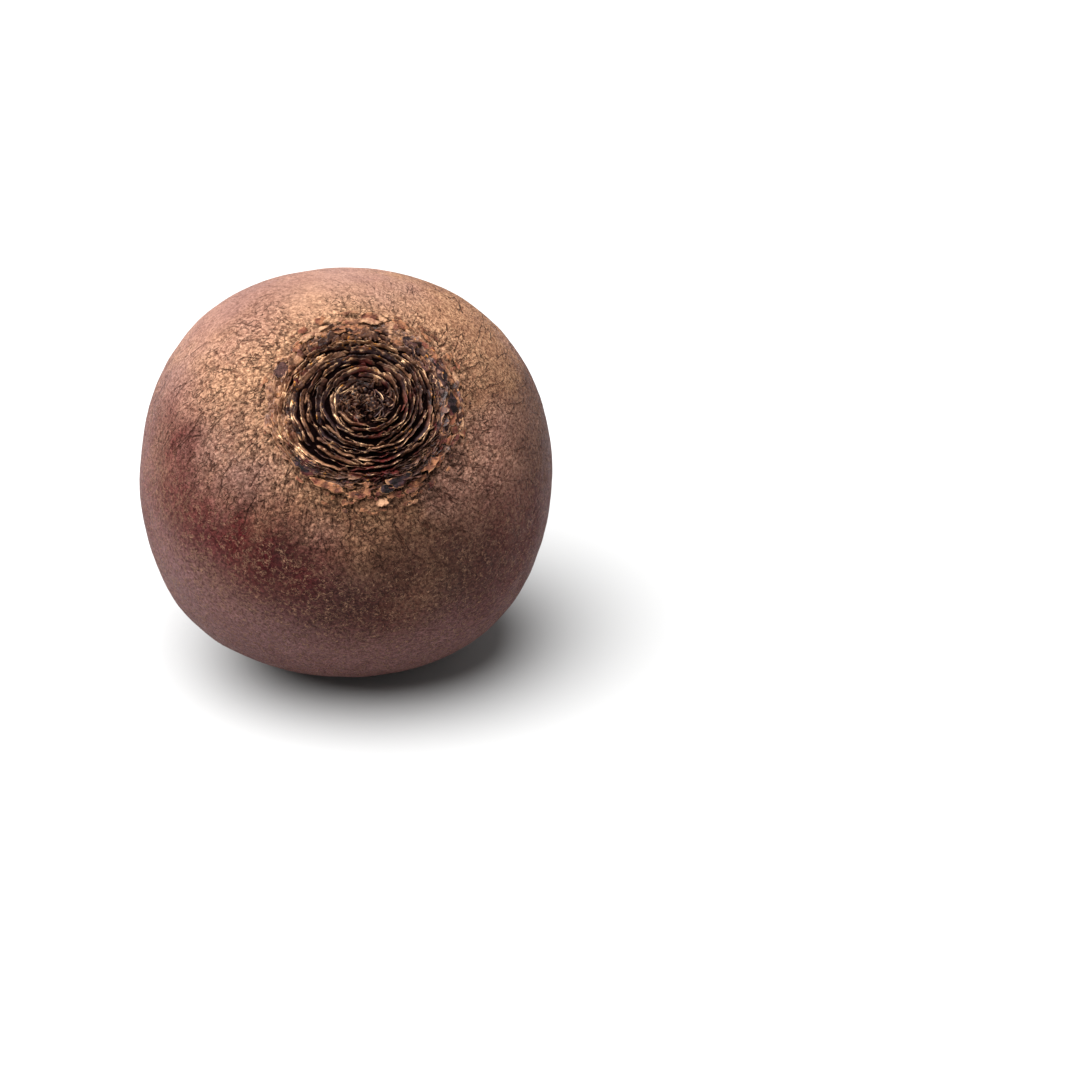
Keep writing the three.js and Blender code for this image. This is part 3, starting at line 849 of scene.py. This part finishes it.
class Graph:
    """Adds shader nodes to a material with little writing."""

    def __init__(self, name):
        self.material = bpy.data.materials.new(name)
        self.material.use_nodes = True
        self.tree = self.material.node_tree
        self.shader = self.tree.nodes["Principled BSDF"]

    def node(self, kind, inputs, output=0, **settings):
        made = self.tree.nodes.new(kind)
        for key, value in settings.items():
            setattr(made, key, value)
        for key, value in inputs.items():
            self.feed(made.inputs[key], value)
        return made.outputs[output]

    def feed(self, socket, value):
        if isinstance(value, bpy.types.NodeSocket):
            self.tree.links.new(value, socket)
        else:
            socket.default_value = value

    def surface(self, name, value):
        self.feed(self.shader.inputs[name], value)

    def field(self, name, output="Fac"):
        return self.node("ShaderNodeAttribute", {}, output, attribute_name=name)

    def spots(self):
        return self.node("ShaderNodeTexCoord", {}, "Object")

    def stretched(self, vector, scale):
        return self.node("ShaderNodeVectorMath", {0: vector, 1: scale}, 0, operation="MULTIPLY")

    def noise(self, vector, scale, detail=3.0, roughness=0.55):
        inputs = {"Vector": vector, "Scale": scale, "Detail": detail, "Roughness": roughness}
        return self.node("ShaderNodeTexNoise", inputs, "Fac")

    def cells(self, vector, scale):
        """How far the border of the cell round a place is."""
        inputs = {"Vector": vector, "Scale": scale}
        return self.node("ShaderNodeTexVoronoi", inputs, "Distance", feature="DISTANCE_TO_EDGE")

    def eased(self, value, low, high, start=0.0, end=1.0):
        inputs = {0: value, 1: low, 2: high, 3: start, 4: end}
        return self.node("ShaderNodeMapRange", inputs, 0, interpolation_type="SMOOTHSTEP")

    def warped(self, vector, scale, reach):
        """The vector pushed about by a noise, so that patterns on it lose their straight lines."""
        inputs = {"Vector": vector, "Scale": scale, "Detail": 3.0, "Roughness": 0.6}
        push = self.node("ShaderNodeTexNoise", inputs, "Color")
        centred = self.node("ShaderNodeVectorMath", {0: push, 1: (0.5, 0.5, 0.5)}, 0, operation="SUBTRACT")
        moved = self.node("ShaderNodeVectorMath", {0: centred, "Scale": reach}, 0, operation="SCALE")
        return self.node("ShaderNodeVectorMath", {0: vector, 1: moved}, 0, operation="ADD")

    def ridges(self, value, width):
        """Winding lines where a noise passes its middle value."""
        apart = self.maths("ABSOLUTE", self.maths("SUBTRACT", value, 0.5), 0.0)
        return self.eased(apart, 0.0, width, 1.0, 0.0)

    def maths(self, operation, a, b, clamp=False):
        return self.node("ShaderNodeMath", {0: a, 1: b}, 0, operation=operation, use_clamp=clamp)

    def mixed(self, share, a, b, blend="MIX"):
        made = self.tree.nodes.new("ShaderNodeMix")
        made.data_type = "RGBA"
        made.blend_type = blend
        self.feed(made.inputs["Factor"], share)
        self.feed(made.inputs[6], a)
        self.feed(made.inputs[7], b)
        return made.outputs[2]

    def bump(self, height, strength, distance):
        inputs = {"Height": height, "Strength": strength, "Distance": distance}
        return self.node("ShaderNodeBump", inputs, 0)


def colour(red, green, blue):
    """A linear colour from red, green and blue of 0 to 255 as a screen shows them."""
    shown = (red, green, blue)
    return (*(((c / 255 + 0.055) / 1.055) ** 2.4 if c > 10 else c / 3294 for c in shown), 1)


def skin_material():
    g = Graph("beet_skin")
    spots = g.spots()
    tan_field, low, cork = g.field("tan"), g.field("low"), g.field("cork")
    broad = g.noise(spots, 60.0, 4.0)
    mottle = g.noise(spots, 240.0, 5.0, 0.62)
    grain = g.noise(spots, 2200.0, 3.0, 0.6)
    loose = g.warped(spots, 600.0, 0.0009)
    weave, threads = skin_weave(g, loose, tan_field)

    bare = bare_skin(g, broad, mottle, low)
    skin = g.mixed(skin_share(g, tan_field, mottle, weave), bare, tan_skin(g, mottle))
    mauve = g.mixed(tan_field, colour(106, 78, 80), colour(126, 99, 94))
    skin = g.mixed(g.maths("MULTIPLY", g.field("mauve"), 0.6), skin, mauve)
    red = g.maths("MULTIPLY", g.field("maroon"), g.eased(mottle, 0.25, 0.65, 0.5, 1.0), True)
    # Darkens the dark patches: the root's own dark spots, and the painted shadow on the lower right
    skin = g.mixed(g.maths("MULTIPLY", g.field("dark"), 0.7), skin, colour(38, 20, 15))
    skin = g.mixed(red, skin, g.mixed(g.field("dark"), colour(70, 14, 19), colour(46, 10, 13)))

    active = g.eased(g.field("calm"), 0.0, 1.0, 1.0, 0.4)
    # The grain darkens the skin where it runs low and lightens it where it runs high, where the bump also
    # lowers and raises it: partly the skin's own mottling and partly a painted shading of that fine relief
    shade = g.mixed(g.eased(weave, 0.38, 0.62), (0.5, 0.38, 0.34, 1), (1.5, 1.48, 1.42, 1))
    skin = g.mixed(1.0, skin, g.mixed(active, (1, 1, 1, 1), shade), "MULTIPLY")
    pale_threads = g.maths("MULTIPLY", threads, g.eased(tan_field, 0.1, 0.9, 0.8, 0.0))
    skin = g.mixed(pale_threads, skin, colour(176, 133, 106))

    crusty = g.mixed(g.eased(weave, 0.4, 0.6), colour(60, 34, 25), colour(150, 106, 78))
    skin = g.mixed(g.maths("MULTIPLY", g.field("crust"), g.eased(mottle, 0.35, 0.6)), skin, crusty)
    cracks = skin_cracks(g, spots, loose, cork, tan_field)
    skin = g.mixed(cracks, skin, colour(62, 31, 20))
    # Painted shade in the cracks and hollows of the relief
    skin = g.mixed(g.maths("MULTIPLY", g.field("hollow_shade"), 0.85), skin, colour(44, 24, 17))
    g.surface("Base Color", skin)

    rough = g.eased(mottle, 0.3, 0.7, 0.5, 0.65)
    g.surface("Roughness", g.maths("ADD", rough, g.maths("MULTIPLY", cork, 0.12)))
    g.surface("Specular IOR Level", 0.08)
    height = g.maths("ADD", g.maths("MULTIPLY", grain, 0.3), g.maths("MULTIPLY", mottle, 0.3))
    height = g.maths("ADD", height, g.maths("MULTIPLY", weave, g.maths("MULTIPLY", active, 1.1)))
    height = g.maths("ADD", height, g.maths("MULTIPLY", pale_threads, 0.5))
    height = g.maths("SUBTRACT", height, g.maths("MULTIPLY", cracks, 0.9))
    g.surface("Normal", g.bump(height, 1.0, 0.0009))
    return g.material


def skin_weave(g, loose, tan_field):
    """The skin's fine grain, which leans where it is tan and runs round elsewhere, and fine threads."""
    flow = g.field("flow", "Vector")
    round_crown = g.warped(g.stretched(flow, (1.0, 1.0, 6.0)), 0.5, 1.2)
    concentric = g.noise(round_crown, 1.9, 3.0, 0.65)
    leaning = g.noise(g.warped(g.stretched(flow, (1.0, 1.0, 1.9)), 0.8, 0.9), 1.9, 3.0, 0.65)
    swing = g.maths("MULTIPLY", g.maths("SUBTRACT", leaning, concentric), tan_field)
    grained = g.maths("ADD", concentric, swing)
    weave = g.maths("MULTIPLY", g.noise(loose, 1900.0, 2.5, 0.65), 0.58)
    weave = g.maths("ADD", weave, g.maths("MULTIPLY", grained, 0.42))
    threads = g.ridges(g.noise(round_crown, 1.1, 2.0, 0.6), 0.026)
    threads = g.maths("MAXIMUM", threads, g.ridges(g.noise(loose, 1050.0, 2.0, 0.6), 0.03))
    threads = g.maths("MULTIPLY", threads, g.eased(g.noise(loose, 950.0, 2.0), 0.46, 0.56))
    return weave, threads


def bare_skin(g, broad, mottle, low):
    """Skin without cork: brown-purple, darker in clouds, and greyer and paler underneath as a painted
    reflection of the pale floor.
    """
    bare = g.mixed(g.eased(broad, 0.38, 0.62), colour(70, 38, 37), colour(80, 52, 42))
    bare = g.mixed(g.eased(mottle, 0.42, 0.66, 0.0, 0.5), bare, colour(46, 22, 24))
    # Painted reflection of the pale floor on the underside
    return g.mixed(g.eased(low, 0.0, 1.0, 0.0, 0.8), bare, colour(118, 85, 84))


def tan_skin(g, mottle):
    """Corky skin: rosy in some places and brown in others, golden in patches."""
    rosy = g.mixed(g.eased(mottle, 0.3, 0.7), colour(126, 92, 80), colour(145, 111, 96))
    brown = g.mixed(g.eased(mottle, 0.3, 0.7), colour(125, 90, 69), colour(144, 110, 85))
    tan = g.mixed(g.eased(g.noise(g.spots(), 34.0, 3.0), 0.42, 0.58), rosy, brown)
    return g.mixed(g.maths("MULTIPLY", g.field("golden"), 0.85), tan, colour(163, 127, 99))


def skin_share(g, tan_field, mottle, weave):
    """How corky the skin is, with a ragged and speckled border."""
    swing = g.maths("ADD", g.maths("MULTIPLY", weave, 0.5), g.maths("MULTIPLY", mottle, 0.6))
    share = g.maths("ADD", g.maths("MULTIPLY", tan_field, 1.1), g.maths("SUBTRACT", swing, 0.58))
    return g.eased(share, 0.0, 1.0)


def skin_cracks(g, spots, loose, cork, tan_field):
    """Long leaning cracks, and the outlines of small scales that part near the crown."""
    flow = g.warped(g.field("flow", "Vector"), 0.5, 2.0)
    long = g.eased(g.cells(flow, 0.42), 0.0, 0.055, 0.7, 0.0)
    long = g.maths("MULTIPLY", long, g.eased(g.noise(flow, 0.55, 3.0), 0.5, 0.58))
    long = g.maths("MULTIPLY", long, g.eased(g.field("calm"), 0.0, 0.8, 1.0, 0.25))
    scales = g.eased(g.cells(loose, 780.0), 0.0, 0.085, 1.0, 0.0)
    scales = g.maths("MULTIPLY", scales, g.eased(g.noise(spots, 480.0, 3.0, 0.6), 0.48, 0.58))
    scales = g.maths("MULTIPLY", scales, g.eased(cork, 0.0, 1.0, 0.05, 0.5))
    return g.maths("MULTIPLY", g.maths("MAXIMUM", long, scales), g.eased(tan_field, 0.05, 0.7, 0.1, 1.0))


def leaf_material(name, edge_low, edge_high):
    """Dried leaf: dark faces, near black at the foot and on the ground between as a painted shade, with a
    worn edge between two given colours.
    """
    g = Graph(name)
    spots = g.spots()
    crest, tone, bud = g.field("crest"), g.field("tone"), g.field("bud")
    mottle = g.noise(spots, 500.0, 4.0, 0.6)
    grain = g.noise(spots, 1800.0, 4.0, 0.6)
    patch = g.noise(spots, 230.0, 3.0)
    face = g.mixed(g.eased(mottle, 0.38, 0.66), colour(26, 13, 11), colour(86, 52, 40))
    face = g.mixed(g.eased(patch, 0.5, 0.6, 0.0, 0.9), face, colour(46, 31, 33))
    face = g.mixed(g.eased(patch, 0.32, 0.42, 0.7, 0.0), face, colour(88, 28, 26))
    dry = g.mixed(g.eased(mottle, 0.4, 0.6), colour(96, 60, 42), colour(158, 114, 84))
    # Paler, drier faces where the tone is high, which on the crown's upper and left sides is partly a
    # painted highlight
    face = g.mixed(g.eased(tone, 0.55, 1.2, 0.0, 0.9), face, dry)
    edge = g.mixed(g.eased(mottle, 0.42, 0.66), edge_low, edge_high)
    edge = g.mixed(g.eased(g.noise(spots, 640.0, 2.0), 0.6, 0.68), edge, colour(172, 108, 30))
    ragged = g.maths("ADD", crest, g.maths("MULTIPLY", g.maths("SUBTRACT", grain, 0.5), 0.8))
    broken = g.eased(g.noise(spots, 460.0, 3.0), 0.47, 0.58, 0.1, 1.0)
    broken = g.maths("MULTIPLY", broken, g.eased(tone, 0.0, 0.08, 0.15, 1.0))
    leaf = g.mixed(g.maths("MULTIPLY", g.eased(ragged, 0.8, 0.97), broken), face, edge)
    # Painted shade: near black low on the walls and on the ground between them
    leaf = g.mixed(g.eased(crest, 0.05, 0.5), colour(9, 4, 4), leaf)
    crumb = g.mixed(g.eased(grain, 0.42, 0.64), colour(22, 12, 10), colour(104, 68, 44))
    # The bud's crumbs take their own colour where they stand up out of the painted shade
    leaf = g.mixed(g.maths("MULTIPLY", bud, g.eased(crest, 0.1, 0.7)), leaf, crumb)
    g.surface("Base Color", leaf)
    g.surface("Roughness", g.eased(mottle, 0.3, 0.7, 0.3, 0.6))
    g.surface("Specular IOR Level", g.eased(crest, 0.2, 0.7, 0.0, 0.35))
    height = g.maths("ADD", mottle, g.maths("MULTIPLY", grain, 0.6))
    g.surface("Normal", g.bump(height, 1.0, 0.0005))
    return g.material


def flake_material():
    g = Graph("dry_flake")
    spots = g.spots()
    rim, tone = g.field("rim"), g.field("tone")
    mottle = g.noise(spots, 700.0, 4.0, 0.6)
    grain = g.noise(spots, 2000.0, 3.0, 0.6)
    dark = g.mixed(g.eased(mottle, 0.4, 0.6), colour(28, 16, 15), colour(72, 48, 44))
    black = g.mixed(g.eased(mottle, 0.44, 0.64), colour(14, 8, 9), colour(50, 36, 40))
    dark = g.mixed(g.eased(tone, -0.2, 0.0), black, dark)
    brown = g.mixed(g.eased(mottle, 0.4, 0.6), colour(74, 42, 30), colour(132, 88, 62))
    pale = g.mixed(g.eased(mottle, 0.4, 0.6), colour(112, 78, 58), colour(164, 126, 98))
    flake = g.mixed(g.eased(tone, 0.12, 0.3), dark, brown)
    flake = g.mixed(g.eased(tone, 0.5, 0.75), flake, pale)
    flake = g.mixed(g.eased(g.noise(spots, 260.0, 3.0), 0.52, 0.62, 0.0, 0.5), flake, colour(92, 42, 36))
    paling = g.eased(g.maths("ADD", rim, g.maths("MULTIPLY", mottle, 0.6)), 1.12, 1.36, 0.0, 0.85)
    flake = g.mixed(paling, flake, colour(156, 112, 80))
    g.surface("Base Color", flake)
    g.surface("Roughness", g.eased(mottle, 0.3, 0.7, 0.45, 0.8))
    g.surface("Specular IOR Level", 0.1)
    g.surface("Normal", g.bump(g.maths("ADD", mottle, grain), 1.0, 0.0004))
    return g.material


def rootlet_material():
    g = Graph("rootlet")
    spots = g.spots()
    mottle = g.noise(spots, 300.0, 4.0, 0.6)
    tint = g.mixed(g.eased(g.field("tone"), 0.2, 0.9), colour(96, 60, 52), colour(156, 116, 88))
    tint = g.mixed(g.eased(mottle, 0.4, 0.65, 0.0, 0.6), tint, colour(74, 44, 40))
    g.surface("Base Color", tint)
    g.surface("Roughness", 0.7)
    g.surface("Normal", g.bump(mottle, 0.5, 0.0003))
    return g.material


# Floor, lights and camera


FLOOR_REACH = 6
SKY_STRENGTH = 0.3
LAMP_PLACE = (-1.0, -0.4, 2.85)
LAMP_AIM = (0, 0, 0.04)
LAMP_SIZE = 4.6
LAMP_POWER = 460
LENS = 100
SENSOR_WIDTH = 36
CAMERA_PLACE = (-0.06412, -0.52632, 0.3003)
CAMERA_DOWN = math.radians(27.58)
CAMERA_TURN = math.radians(-11.04)


def make_floor():
    """A pale floor, paler far out, where less of the light reaches it."""
    g = Graph("pale_floor")
    far = g.node("ShaderNodeVectorMath", {0: g.spots()}, "Value", operation="LENGTH")
    g.surface("Base Color", g.eased(far, 0.6, 3.0, 0.4, 1.0))
    g.surface("Roughness", 0.9)
    g.surface("Specular IOR Level", 0.1)
    mesh = bpy.data.meshes.new("floor")
    corners = [(FLOOR_REACH * x, FLOOR_REACH * y, 0) for x, y in ((-1, -1), (1, -1), (1, 1), (-1, 1))]
    mesh.from_pydata(corners, [], [(0, 1, 2, 3)])
    mesh.materials.append(g.material)
    floor = bpy.data.objects.new("floor", mesh)
    bpy.context.scene.collection.objects.link(floor)


def area_light(name, place, aim, size, power):
    """A round soft light at a place, turned to what it lights."""
    light = bpy.data.lights.new(name, "AREA")
    light.shape = "DISK"
    light.size = size
    light.energy = power
    lamp = bpy.data.objects.new(name, light)
    away = np.array(place) - np.array(aim)
    flat = math.hypot(away[0], away[1])
    lamp.location = place
    lamp.rotation_euler = (math.atan2(flat, away[2]), 0, math.atan2(away[0], -away[1]))
    bpy.context.scene.collection.objects.link(lamp)


def make_lights():
    world = bpy.data.worlds.new("studio")
    world.use_nodes = True
    sky = world.node_tree.nodes["Background"]
    sky.inputs["Color"].default_value = (1, 1, 1, 1)
    sky.inputs["Strength"].default_value = SKY_STRENGTH
    bpy.context.scene.world = world
    area_light("overhead", LAMP_PLACE, LAMP_AIM, LAMP_SIZE, LAMP_POWER)


def make_camera():
    camera = bpy.data.cameras.new("camera")
    camera.lens = LENS
    camera.sensor_width = SENSOR_WIDTH
    holder = bpy.data.objects.new("camera", camera)
    holder.location = CAMERA_PLACE
    holder.rotation_euler = (math.pi / 2 - CAMERA_DOWN, 0, CAMERA_TURN)
    bpy.context.scene.collection.objects.link(holder)
    bpy.context.scene.camera = holder


make_camera()
make_lights()
make_floor()
bpy.context.scene.view_settings.view_transform = "Standard"

skin = make_skin(skin_material())
leaf_bases = make_crown(leaf_material("dried_leaf_base", colour(98, 58, 40), colour(240, 194, 148)))
collar = make_collar(leaf_material("dried_collar", colour(88, 54, 38), colour(176, 132, 100)))
flakes = make_flakes(flake_material())
rootlets = make_rootlets(rootlet_material())

slots = [
    (skin, "skin"),
    (leaf_bases, "leaf_base"),
    (collar, "leaf_base"),
    (flakes, "leaf_base"),
    (rootlets, "skin"),
]
for piece, slot in slots:
    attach(piece, "root")
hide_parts("root")
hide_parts("crown")
